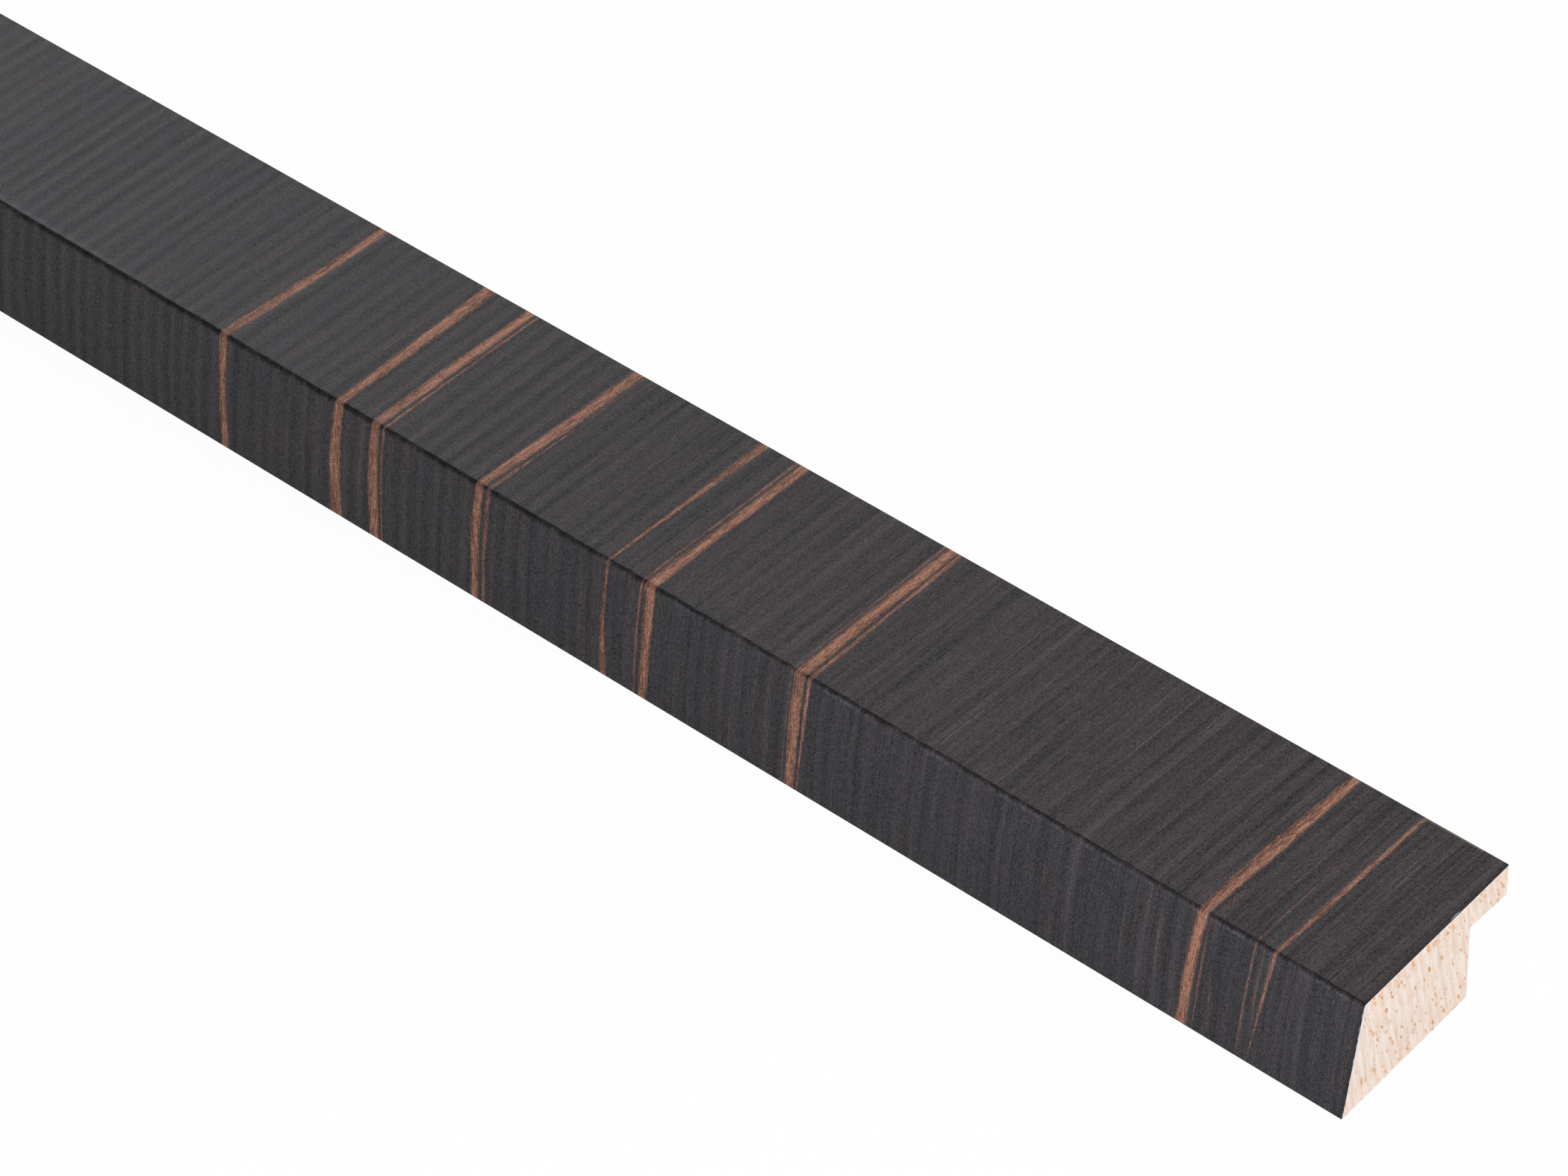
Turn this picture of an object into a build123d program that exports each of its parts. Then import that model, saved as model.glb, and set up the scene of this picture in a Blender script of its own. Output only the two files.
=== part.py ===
"""Stick of picture frame moulding: a milled wood core with a thin sheet of veneer folded over it.

Millimetres. X runs along the stick, Y across it from the outer side to the sight edge, and Z up
from the back, which lies flat. The origin is at the middle of the back's box.
"""

from build123d import *

import os

# Core, as it leaves the moulder
length = 1200.0           # stock length of the stick
core_face_width = 23.84   # flat top face, from the arris to the sight edge
core_height = 14.35       # from the back to the top face
foot_spread = 3.1         # how far the outer side's foot stands out beyond the arris
core_arris_radius = 0.25  # rounding where the top face turns into the outer side

# Rabbet, which takes the glass, the picture and the backing board
rabbet_width = 6.2        # from the sight edge in to the rabbet's wall
lip_thickness = 4.25      # wood over the rabbet, at the sight edge
ledge_rise = 0.4          # undercut: the ledge is this much higher at its root than at the sight edge

# Veneer, glued on after milling
veneer_thickness = 0.2    # a thin cross-grain sheet
foot_trim = 0.15          # the sheet is cut off this far above the back, so that it can't lift there

# The outer side leans, so the sheet stands out from it by a little less than its thickness
side_length = (core_height**2 + foot_spread**2) ** 0.5
sheet_stand_out = veneer_thickness * core_height / side_length
trimmed_spread = foot_spread * (1 - foot_trim / core_height)
overall_width = core_face_width + trimmed_spread + sheet_stand_out

# Lines of the section, by their place across the stick
sight_y = overall_width / 2
arris_y = sight_y - core_face_width
foot_y = arris_y - foot_spread
rabbet_wall_y = sight_y - rabbet_width

# Corners of the core's section, as (across, up)
sight_top = (sight_y, core_height)
arris = (arris_y, core_height)
foot = (foot_y, 0)
rabbet_foot = (rabbet_wall_y, 0)
ledge_root = (rabbet_wall_y, core_height - lip_thickness + ledge_rise)
ledge_tip = (sight_y, core_height - lip_thickness)
sheet_end = (arris_y - trimmed_spread, foot_trim)

# Milled core: one outline with the rabbet in it, its arris eased, drawn out to the stock length
with BuildPart() as wood_core:
    with BuildSketch(Plane.YZ) as core_section:
        with BuildLine():
            Polyline(sight_top, arris, foot, rabbet_foot, ledge_root, ledge_tip, close=True)
        make_face()
        arris_corner = core_section.vertices().sort_by_distance(arris)[0]
        fillet(arris_corner, radius=core_arris_radius)
    extrude(amount=length / 2, both=True)
wood_core.part.label = "wood_core"

# Veneer: the line of the core's face, arris and outer side, thickened outwards by the sheet
with BuildPart() as veneer_wrap:
    with BuildSketch(Plane.YZ):
        with BuildLine():
            FilletPolyline(sight_top, arris, sheet_end, radius=core_arris_radius)
            offset(amount=veneer_thickness, side=Side.RIGHT, closed=True)
        make_face()
    extrude(amount=length / 2, both=True)
veneer_wrap.part.label = "veneer_wrap"

os.makedirs("parts", exist_ok=True)
export_step(wood_core.part, "parts/wood_core.step")
export_step(veneer_wrap.part, "parts/veneer_wrap.step")
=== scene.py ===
"""Stick of picture frame moulding: a sheet of streaked ebony veneer wrapped over a milled pale wood core.

Blender's metres. X runs along the stick, Y across it to the sight edge, and Z up from the back. Sizes are
written in millimetres, as a maker gives them. The sheet is first laid out flat, with its streaks, and a
Geometry Nodes tree then wraps it round the arris. Another tree draws the core out from its section.
"""

import logging
import math
import random
from dataclasses import dataclass, field
from enum import Enum
from typing import Any, ClassVar, Iterator

import bpy
from mathutils import Euler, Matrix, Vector

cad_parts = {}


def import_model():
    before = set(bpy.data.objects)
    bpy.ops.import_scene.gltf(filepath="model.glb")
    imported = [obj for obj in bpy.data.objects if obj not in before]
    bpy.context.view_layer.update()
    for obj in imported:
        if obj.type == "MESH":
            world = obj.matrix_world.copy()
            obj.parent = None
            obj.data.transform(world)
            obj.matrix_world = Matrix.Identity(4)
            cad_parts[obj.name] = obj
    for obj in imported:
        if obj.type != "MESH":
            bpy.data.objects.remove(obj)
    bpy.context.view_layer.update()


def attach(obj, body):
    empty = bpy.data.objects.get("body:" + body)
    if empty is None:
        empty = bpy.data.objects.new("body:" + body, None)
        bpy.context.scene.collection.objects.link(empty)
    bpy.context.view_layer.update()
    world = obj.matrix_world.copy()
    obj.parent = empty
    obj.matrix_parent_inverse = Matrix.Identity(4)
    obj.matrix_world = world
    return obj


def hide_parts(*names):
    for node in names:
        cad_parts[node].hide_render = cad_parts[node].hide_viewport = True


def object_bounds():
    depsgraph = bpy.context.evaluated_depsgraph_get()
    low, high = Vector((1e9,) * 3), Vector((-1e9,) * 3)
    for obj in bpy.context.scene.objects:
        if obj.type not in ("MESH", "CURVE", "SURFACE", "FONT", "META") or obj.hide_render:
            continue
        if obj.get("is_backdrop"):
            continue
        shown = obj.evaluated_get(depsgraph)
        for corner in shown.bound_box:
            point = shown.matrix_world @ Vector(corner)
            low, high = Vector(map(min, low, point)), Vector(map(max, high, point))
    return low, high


LOG = logging.getLogger("moulding")
MM = 0.001                  # one millimetre, in Blender's metres
BAKE_MAP = "OFBake"         # the map that each piece's finish is baked through

LONG = 900.0                # mm; a mark this long runs on unbroken
NO_STREAK = 99.0            # mm; farther than any streak reaches

Point = tuple[float, float]
Triple = tuple[float, float, float]
Tree, Node = bpy.types.NodeTree, bpy.types.Node
Layers = tuple[tuple[Any, Any], ...]     # how much of a colour shows, and the colour


class Kind:
    """A kind of node and what it is set to do."""

    def __init__(self, name: str, **settings: Any) -> None:
        """Keeps the node's type name and its settings."""
        self.name, self.settings = name, settings


# Sums with numbers, and then with places: MOVED adds, FROM subtracts, STRETCHED multiplies, SHRUNK divides
PLUS, MINUS, TIMES, OVER, TIMES_PLUS, SMALLER, LARGER, SINE, COSINE, UNSIGNED = (
    Kind("ShaderNodeMath", operation=o)
    for o in ("ADD", "SUBTRACT", "MULTIPLY", "DIVIDE", "MULTIPLY_ADD", "MINIMUM", "MAXIMUM", "SINE", "COSINE",
              "ABSOLUTE"))
TIMES_WITHIN, TIMES_PLUS_WITHIN = (
    Kind("ShaderNodeMath", operation=o, use_clamp=True) for o in ("MULTIPLY", "MULTIPLY_ADD"))
MOVED, FROM, STRETCHED, SHRUNK, SCALED, LENGTH = (
    Kind("ShaderNodeVectorMath", operation=o) for o in ("ADD", "SUBTRACT", "MULTIPLY", "DIVIDE", "SCALE", "LENGTH"))
RANGE, SMOOTH = Kind("ShaderNodeMapRange"), Kind("ShaderNodeMapRange", interpolation_type="SMOOTHSTEP")
MIX, COLOURS = Kind("ShaderNodeMix"), Kind("ShaderNodeMix", data_type="RGBA")
SPLIT, JOIN = Kind("ShaderNodeSeparateXYZ"), Kind("ShaderNodeCombineXYZ")


def linear(hex_colour: str) -> tuple[float, float, float, float]:
    """Turns an sRGB hex colour to linear.

    Args:
        hex_colour: Six hex digits after a hash sign.
    Returns:
        Red, green, blue and an alpha of one.
    """
    channels = (int(hex_colour[i:i + 2], 16) / 255 for i in (1, 3, 5))
    red, green, blue = (c / 12.92 if c <= 0.04045 else ((c + 0.055) / 1.055) ** 2.4 for c in channels)
    return red, green, blue, 1.0


def add(tree: Tree, kind: Kind | str, *inputs: Any, **named: Any) -> Node:
    """Adds a node with its settings and inputs.

    Args:
        tree: The tree that takes the node.
        kind: Its kind, or only its type name where there is nothing to set.
        inputs: Values, nodes or sockets for its first inputs. A node stands for its first output.
        named: The same for inputs by their names.
    Returns:
        The new node.
    """
    kind = Kind(kind) if isinstance(kind, str) else kind
    node = tree.nodes.new(kind.name)
    for name, value in kind.settings.items():
        setattr(node, name, value)
    for key, value in (*enumerate(inputs), *named.items()):
        socket = node.inputs[key] if isinstance(key, int) else next(
            s for s in node.inputs if s.name == key and s.enabled)
        if isinstance(value, Node):
            value = next(s for s in value.outputs if s.enabled)
        if isinstance(value, bpy.types.NodeSocket):
            tree.links.new(value, socket)
        else:
            socket.default_value = value
    return node


def fibres(tree: Tree, place: Any, size: Triple, detail: float = 1.0) -> Node:
    """Draws noise whose marks are stretched along the grain.

    Args:
        tree: The material's tree.
        place: Coordinates in millimetres.
        size: How long a mark is along each coordinate, in millimetres.
        detail: How many finer layers the noise has.
    Returns:
        The noise, about 0.5 on average.
    """
    scaled = add(tree, SHRUNK, place, size)
    return add(tree, "ShaderNodeTexNoise", Vector=scaled, Scale=1.0, Detail=detail)


def strip(tree: Tree, value: Any, rise: tuple[Any, Any], fall: tuple[Any, Any]) -> Node:
    """Marks a strip with soft edges.

    Args:
        tree: The material's tree.
        value: The place that is tested.
        rise: Where the strip is still 0, and where it has reached 1.
        fall: Where it is 0 again, and up to where it is still 1.
    Returns:
        1 in the strip and 0 outside it.
    """
    into = add(tree, SMOOTH, value, rise[0], rise[1])
    out = add(tree, SMOOTH, value, fall[0], fall[1])
    return add(tree, TIMES, into, out)


def sum_of(tree: Tree, start: float, *terms: tuple[Any, float]) -> Any:
    """Adds up noises with their weights.

    Args:
        tree: The material's tree.
        start: The sum before the first term, with each noise at its average of 0.5.
        terms: Noises and how much each counts.
    Returns:
        The sum.
    """
    total: Any = start - sum(weight for _, weight in terms) / 2
    for noise, weight in terms:
        total = add(tree, TIMES_PLUS, noise, weight, total)
    return total


def covered(tree: Tree, colour: Any, *layers: tuple[Any, Any]) -> Any:
    """Lays colours over one another.

    Args:
        tree: The material's tree.
        colour: The lowest colour, as a node or an sRGB hex.
        layers: How much of each further colour shows, and that colour.
    Returns:
        The colour that is seen.
    """
    for share, paint in layers:
        under, over = (linear(c) if isinstance(c, str) else c for c in (colour, paint))
        colour = add(tree, COLOURS, Factor=share, A=under, B=over)
    return colour


def curve_through(stations: tuple[float, ...], values: tuple[float, ...], at: float) -> float:
    """Reads a smooth curve that goes through given values.

    Args:
        stations: Where the values are given, rising.
        values: The value at each station.
        at: Where the curve is read.
    Returns:
        The curve's value there.
    """
    steps = [(values[i + 1] - values[i]) / (stations[i + 1] - stations[i]) for i in range(len(values) - 1)]
    slopes = [steps[0], *((a + b) / 2 for a, b in zip(steps, steps[1:])), steps[-1]]
    i = max(k for k in range(len(steps)) if k == 0 or stations[k] <= at)
    span = stations[i + 1] - stations[i]
    t = (at - stations[i]) / span
    return (values[i] * (2 * t**3 - 3 * t**2 + 1) + values[i + 1] * (3 * t**2 - 2 * t**3)
            + span * (slopes[i] * (t**3 - 2 * t**2 + t) + slopes[i + 1] * (t**3 - t**2)))


@dataclass(frozen=True)
class Section:
    """The stick's section, in millimetres, as the moulder and the veneer press leave it."""

    length: float = 1200.0
    face_width: float = 23.84
    core_height: float = 14.35
    foot_spread: float = 3.1
    arris_radius: float = 0.25
    rabbet_width: float = 6.2
    lip_thickness: float = 4.25
    ledge_rise: float = 0.4
    sheet: float = 0.2
    foot_trim: float = 0.15

    @property
    def turn(self) -> float:
        """Angle in radians through which the sheet turns at the arris."""
        return math.atan2(self.core_height, self.foot_spread)

    @property
    def sight(self) -> float:
        """How far the sight edge stands from the middle of the stick's width."""
        spread = self.foot_spread * (1 - self.foot_trim / self.core_height)
        return (self.face_width + spread + self.sheet * math.sin(self.turn)) / 2

    @property
    def bend_start(self) -> float:
        """How far in from the sight edge the sheet begins to turn."""
        return self.face_width - self.arris_radius * math.tan(self.turn / 2)

    @property
    def bend_end(self) -> float:
        """Where the turn ends, measured along the sheet's glued face."""
        return self.bend_start + self.arris_radius * self.turn

    @property
    def sheet_width(self) -> float:
        """Width of the sheet's glued face from the sight edge to the foot."""
        drop = self.core_height - self.foot_trim - self.arris_radius * (1 - math.cos(self.turn))
        return self.bend_end + drop / math.sin(self.turn)

    def core_outline(self, arc_steps: int = 6) -> list[Point]:
        """Gives the core's section.

        Args:
            arc_steps: Straight steps in the eased arris.
        Returns:
            Corners as (across, up), anticlockwise, from the outer foot.
        """
        y, top, wall = self.sight, self.core_height, self.sight - self.rabbet_width
        tip = top - self.lip_thickness
        arc = [self.turn * i / arc_steps for i in range(arc_steps + 1)]
        eased = [(y - self.bend_start - self.arris_radius * math.sin(a),
                  top - self.arris_radius * (1 - math.cos(a))) for a in arc]
        return [(y - self.face_width - self.foot_spread, 0.0), (wall, 0.0), (wall, tip + self.ledge_rise),
                (y, tip), (y, top), *eased]


@dataclass(frozen=True)
class Streak:
    """A brown line in the figure, by its centre and width in millimetres where it crosses each station.

    A centre is measured along the stick from the near sawn end, and is less than zero.
    """

    centre: tuple[float, ...]
    width: tuple[float, ...]
    strength: float = 1.0

    # Sight edge, middle of the face, arris, middle of the side, and foot, along the sheet
    STATIONS: ClassVar[tuple[float, ...]] = (0.0, 12.0, 23.8, 30.5, 38.3)

    def place(self, s: float) -> float:
        """Centre of the line at s millimetres from the sight edge."""
        return curve_through(self.STATIONS, self.centre, s)

    def half(self, s: float) -> float:
        """Half its width at s millimetres from the sight edge."""
        return max(curve_through(self.STATIONS, self.width, s), 0.0) / 2


# The streaks that show near the sawn end, from the end inwards
NEAR_STREAKS = (
    Streak((-10.2, -10.5, -10.9, -11.4, -12.0), (0.38, 0.62, 0.5, 0.3, 0.02)),
    Streak((-13.1, -13.15, -13.25, -13.4, -13.35), (0.05, 0.12, 0.16, 0.2, 0.26), 0.6),
    Streak((-18.0, -18.5, -18.9, -19.0, -18.9), (0.0, 0.0, 0.05, 0.3, 0.2), 0.45),
    Streak((-18.9, -19.5, -19.9, -20.3, -20.3), (1.05, 1.65, 1.3, 1.3, 1.3)),
    Streak((-71.2, -71.5, -71.75, -71.9, -71.75), (0.5, 0.45, 0.5, 0.35, 0.25), 1.0),
    Streak((-72.2, -72.75, -73.0, -73.1, -72.8), (1.5, 1.4, 1.4, 1.35, 1.3)),
    Streak((-73.3, -73.8, -74.1, -74.2, -73.9), (0.3, 0.15, 0.1, 0.1, 0.1), 0.5),
    Streak((-93.2, -93.6, -94.1, -94.0, -93.9), (1.2, 1.25, 1.4, 1.3, 1.1)),
    Streak((-94.3, -94.75, -95.3, -95.4, -95.1), (0.5, 0.35, 0.4, 0.4, 0.3), 0.6),
    Streak((-98.9, -99.6, -100.2, -100.3, -99.6), (1.1, 0.65, 0.42, 0.62, 0.95)),
    Streak((-116.4, -117.0, -117.75, -117.8, -117.3), (0.1, 0.15, 0.6, 0.5, 0.5), 0.8),
    Streak((-117.4, -118.1, -119.1, -119.3, -118.7), (1.4, 1.5, 1.2, 1.3, 1.0), 0.95),
    Streak((-132.7, -133.2, -133.6, -133.5, -132.8), (0.4, 0.35, 0.4, 0.25, 0.3), 0.75),
    Streak((-133.8, -134.4, -134.9, -134.8, -134.0), (1.25, 1.4, 1.3, 1.5, 1.4), 0.95),
    Streak((-140.0, -140.2, -140.4, -140.6, -139.9), (1.9, 1.45, 1.35, 1.6, 1.8)),
    Streak((-156.75, -157.5, -158.5, -158.4, -157.6), (1.35, 1.25, 1.3, 1.0, 1.1)),
)


class Layer(Enum):
    """The two faces of the sheet, each by its height over the glue line in sheet thicknesses."""

    GLUED = 0.0
    SHOWN = 1.0


class SheetMarks:
    """Places on the veneer sheet in millimetres, and the marks that the parts of its finish share."""

    # How long a mark is square to the fibres, along them, and along the stick. Single fibres and pores are
    # finer than threads and flecks, which are drawn as coarse as they need to show
    THREAD: ClassVar[Triple] = (0.2, 25.0, LONG)
    FLECK: ClassVar[Triple] = (0.11, 0.24, LONG)
    PATCH: ClassVar[Triple] = (0.7, 7.0, LONG)

    def __init__(self, tree: Tree) -> None:
        """Reads the sheet's attributes and draws the marks.

        Args:
            tree: The material's tree.
        """
        self.tree = tree
        # grain holds the place square to the fibres, the place down the sheet, and the place along the stick
        self.grain = add(tree, Kind("ShaderNodeAttribute", attribute_name="grain")).outputs["Vector"]
        _, self.down, self.along = add(tree, SPLIT, self.grain).outputs

        # The fibres wander by a few tenths of a millimetre, and the bands and fine lines follow them
        self.drift = fibres(tree, self.grain, (30.0, 18.0, 90.0))
        shift = add(tree, JOIN, sum_of(tree, 0.0, (self.drift, 0.45)))
        self.flow = add(tree, MOVED, self.grain, shift)
        self.threads = fibres(tree, self.flow, self.THREAD)
        self.flecks = fibres(tree, self.flow, self.FLECK, 2.0)
        self.patches = fibres(tree, self.flow, self.PATCH)

        # Shares that grow towards the near sawn end: one for the figure, one for the painted shade line on the
        # arris
        self.nearer = add(tree, SMOOTH, self.along, 400.0, 580.0)
        self.finer = add(tree, SMOOTH, self.along, 440.0, 570.0)


@dataclass(frozen=True)
class EbonyVeneer:
    """Streaked ebony veneer, sliced, dyed even, sanded and given a satin lacquer.

    The figure runs across the stick: charcoal with soft bands, fibre lines, and brown streaks. The lacquer is
    thin and flat, so the eye sees the charcoal with little gloss over it.
    """

    charcoal: str = "#3A3A3B"
    warm_charcoal: str = "#453F3E"
    hair: str = "#8C6C58"
    streak: str = "#724B3E"
    pale_streak: str = "#A3775F"
    # Near-black for the painted shade along the arris, and for the darker last half millimetre at the near sawn
    # edge
    arris_shade_and_edge_black: str = "#0B0A0B"
    sawn_edge: str = "#0E0D0E"
    # The chalk colour also paints the sheen, a highlight line just above the arris
    chalk: str = "#B9B9C2"
    olive: str = "#7C7258"
    crest_gap: float = 2.25                         # mm from one soft band's crest to the next
    # Where the painted shade line along the arris is centred
    arris_shade_place: float = 23.74                     # mm from the sight edge, just before the turn's middle
    chip_place: Triple = (0.0, 8.9, 600.0)          # mm, as grain gives it: on the near sawn edge of the face
    chip_half: tuple[float, float] = (0.95, 0.17)   # mm down the sheet and along the stick
    roughness: float = 0.55
    gloss: float = 0.08
    ior: float = 1.5

    def material(self) -> bpy.types.Material:
        """Makes the material; places are in millimetres, from the sheet's own attributes."""
        made = bpy.data.materials.new("ebony_veneer_satin_lacquer")
        made.use_nodes = True
        tree = made.node_tree
        shader = tree.nodes["Principled BSDF"]
        sheet = SheetMarks(tree)
        tone, body = self.ground(sheet)
        colour, shown = self.streaked(sheet, tone, body)
        # The dark line along the arris is painted shade, where the rounded arris misses the light and its
        # reflection
        ragged_down, arris_shade = self.arris_shade_line(sheet, shown)
        colour = covered(tree, colour, (arris_shade, self.arris_shade_and_edge_black), *self.scuffs_and_painted_sheen(sheet, ragged_down),
                         *self.sawn(sheet))

        # Lacquer lies thinner on raised fibres, so it is duller there; it is also made duller under the painted
        # arris shade, to dim the arris's gleam
        dull = sum_of(tree, self.roughness, (sheet.threads, 0.2), (sheet.flecks, 0.15))
        dull = add(tree, TIMES_PLUS_WITHIN, arris_shade, 0.3, dull)
        height = sum_of(tree, 0.5, (sheet.threads, 0.6), (sheet.flecks, 0.5))
        bump = add(tree, "ShaderNodeBump", Strength=0.35, Distance=0.02 * MM, Height=height)
        tree.links.new(colour.outputs[2], shader.inputs["Base Color"])
        tree.links.new(dull.outputs[0], shader.inputs["Roughness"])
        tree.links.new(bump.outputs[0], shader.inputs["Normal"])
        shader.inputs["IOR"].default_value = self.ior
        shader.inputs["Specular IOR Level"].default_value = self.gloss
        return made

    def ground(self, sheet: SheetMarks) -> tuple[Node, Node]:
        """Draws the charcoal ground with its soft bands, fibre lines and single tan fibres.

        Args:
            sheet: The sheet's places and marks.
        Returns:
            How light it is, about 1, and its colour.
        """
        tree, nearer = sheet.tree, sheet.nearer
        bands = fibres(tree, sheet.flow, (0.7, 60.0, LONG))
        wander = sum_of(tree, 0.0, (fibres(tree, sheet.flow, (11.0, 60.0, LONG)), 2.2))
        phase = add(tree, PLUS, add(tree, SPLIT, sheet.flow), wander)
        phase = add(tree, TIMES, phase, 2 * math.pi / self.crest_gap)
        crests = add(tree, SINE, phase)

        # The figure is bolder towards the near end and quieter past the turn, where the side begins
        bold = add(tree, TIMES_PLUS, nearer, 0.45, 0.9)
        quiet = add(tree, RANGE, sheet.down, 23.4, 24.2, 1.0, 0.75)
        bold = add(tree, TIMES, bold, quiet)
        figure = sum_of(tree, 0.0, (bands, 0.5), (sheet.threads, 0.8), (sheet.patches, 0.4))
        tone = add(tree, TIMES_PLUS, figure, bold, sum_of(tree, 1.0, (sheet.flecks, 3.2)))

        # The bands' crests show most where the figure is plain
        plain = add(tree, RANGE, nearer, 0.0, 1.0, 0.19, 0.08)
        crested = add(tree, TIMES, plain, quiet)
        tone = add(tree, TIMES_PLUS, crests, crested, tone)

        # Painted shade makes the side darker, more so towards its foot, but not over its last 5 cm
        on_side = add(tree, SMOOTH, sheet.down, 23.7, 24.1)
        foot_shade = add(tree, RANGE, sheet.down, 23.9, 38.0, 0.035, 0.085)
        foot_shade = add(tree, TIMES, foot_shade, on_side)
        away = add(tree, SMOOTH, sheet.along, 597.0, 545.0)
        tone = add(tree, MINUS, tone, add(tree, TIMES, foot_shade, away))
        # The whole sheet is a little darker towards the near end
        tone = add(tree, TIMES_PLUS, nearer, -0.03, tone)
        # Painted light: the side is made lighter and cooler in hue towards the near end
        painted_cool_light = add(tree, TIMES, on_side, nearer)
        tone = add(tree, TIMES_PLUS, painted_cool_light, 0.06, tone)
        warmth = sum_of(tree, 0.35, (sheet.patches, 0.3), (bands, 0.4), (sheet.threads, 0.4))
        for share, weight in ((nearer, 0.25), (crests, 0.12), (painted_cool_light, -0.3)):
            warmth = add(tree, TIMES_PLUS, share, weight, warmth)
        body = covered(tree, self.charcoal, (warmth, self.warm_charcoal))

        hairs = fibres(tree, sheet.flow, (0.32, 13.0, LONG), 0.0)
        hairs = add(tree, SMOOTH, hairs, 0.7, 0.9)
        tanned = add(tree, TIMES_PLUS, nearer, 0.2, 0.07)
        hairs = add(tree, TIMES, hairs, tanned)
        return tone, covered(tree, body, (hairs, self.hair))

    def streaked(self, sheet: SheetMarks, tone: Node,
                 body: Node) -> tuple[Node, Node]:
        """Lays the brown streaks over the ground.

        Args:
            sheet: The sheet's places and marks.
            tone: How light the ground is.
            body: The ground's colour.
        Returns:
            The colour, and how much of a streak shows.
        """
        tree = sheet.tree
        # streak holds the distance from the nearest streak's centre, half its width, and its strength
        streak = add(tree, Kind("ShaderNodeAttribute", attribute_name="streak")).outputs["Vector"]
        offset, half, strength = add(tree, SPLIT, streak).outputs

        # Its edge is frayed by the fibres, a broad streak's more than a thin one's, and is at most 0.44 mm soft
        fray = fibres(tree, sheet.flow, (0.14, 1.8, LONG), 2.0)
        torn = add(tree, TIMES_PLUS, half, 0.45, 0.2)
        frayed = add(tree, TIMES_PLUS,
                     sum_of(tree, 0.0, (fray, 1.0)), torn, sum_of(tree, 0.0, (sheet.drift, 0.2)))
        offset = add(tree, PLUS, offset, frayed)
        distance = add(tree, UNSIGNED, offset)
        soft = add(tree, TIMES_PLUS, half, 0.8, 0.08)
        soft = add(tree, SMALLER, soft, 0.44)
        inner = add(tree, MINUS, half, soft)
        outer = add(tree, TIMES_PLUS, soft, 0.5, half)
        inside = add(tree, SMOOTH, distance, outer, inner)

        # Its brown is broken by darker vessels
        vessels = fibres(tree, sheet.flow, (0.12, 1.3, LONG), 2.0)
        fade = sum_of(tree, 1.0, (vessels, 1.1), (sheet.patches, 0.5))
        shown = add(tree, TIMES_WITHIN, inside, fade)
        shown = add(tree, TIMES, shown, strength)
        ripe = sum_of(tree, 0.55, (vessels, 1.0), (sheet.patches, 0.3))
        ripe = add(tree, SMOOTH, ripe, 0.3, 0.7)
        brown = covered(tree, self.streak, (ripe, self.pale_streak))
        colour = covered(tree, body, (shown, brown))

        # The ground's light and dark shows a little less in a streak
        calm = add(tree, TIMES_PLUS, shown, -0.2, 1.0)
        uneven = add(tree, MINUS, tone, 1.0)
        level = add(tree, TIMES_PLUS, uneven, calm, 1.0)
        return add(tree, SCALED, colour, Scale=level), shown

    def arris_shade_line(self, sheet: SheetMarks, shown: Node) -> tuple[Node, Node]:
        """Paints a ragged dark line of shade along the arris, where the rounded arris misses the light and its
        reflection; finer near the sawn end.

        Args:
            sheet: The sheet's places and marks.
            shown: How much of a streak shows; the painted shade is paler across it.
        Returns:
            The place down the sheet, made ragged, and how dark the painted shade is.
        """
        tree = sheet.tree
        ragged = sum_of(tree, 0.0, (fibres(tree, sheet.grain, (0.3, LONG, LONG), 3.0), 0.2),
                        (fibres(tree, sheet.grain, (5.0, LONG, LONG)), 0.12))
        ragged_down = add(tree, PLUS, sheet.down, ragged)
        middle = add(tree, TIMES_PLUS, sheet.finer, -0.04, self.arris_shade_place)
        past = add(tree, MINUS, ragged_down, middle)

        # The painted shade spreads down the side in blots, at least 0.1 mm and seldom more than 1 mm wide
        blots = sum_of(tree, 0.58, (fibres(tree, sheet.grain, (0.9, LONG, LONG), 3.0), 1.7))
        narrowed = add(tree, TIMES_PLUS, sheet.finer, -0.6, 1.0)
        blots = add(tree, TIMES, blots, narrowed)
        blots = add(tree, LARGER, blots, 0.1)
        weight = sum_of(tree, 0.9, (fibres(tree, sheet.grain, (1.2, LONG, LONG), 2.0), 1.3))
        weight = add(tree, TIMES_PLUS_WITHIN, shown, -0.6, weight)
        line = strip(tree, past, (-0.2, 0.0), (blots, -0.1))
        return ragged_down, add(tree, TIMES, line, weight)

    def scuffs_and_painted_sheen(self, sheet: SheetMarks, ragged_down: Node) -> Layers:
        """Scuffs the sheet along the arris, and paints a thin line of sheen, a highlight, just above it.

        Args:
            sheet: The sheet's places and marks.
            ragged_down: The place down the sheet, made ragged.
        Returns:
            The scuffs, and the painted sheen line.
        """
        tree = sheet.tree
        # Pale rubs lie just under the dark line, mostly near the sawn end, with a few longer ticks below them
        where = sum_of(tree, 0.0, (fibres(tree, sheet.grain, (7.0, LONG, LONG)), 1.6), (sheet.finer, 0.5))
        where = add(tree, SMOOTH, where, -0.05, 0.5, 0.0, 0.12)
        rubs = add(tree, SMOOTH, fibres(tree, sheet.grain, (0.3, 0.9, LONG), 2.0), 0.35, 0.65)
        rubs = add(tree, TIMES, rubs, strip(tree, ragged_down, (23.84, 23.94), (24.35, 23.98)))
        ticks = add(tree, SMOOTH, fibres(tree, sheet.grain, (0.16, 1.6, LONG)), 0.66, 0.78)
        ticks = add(tree, TIMES, ticks, strip(tree, sheet.down, (24.0, 24.2), (29.0, 24.5)))
        marks = add(tree, LARGER, rubs, ticks)
        scuffs = add(tree, TIMES, marks, where)

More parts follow.
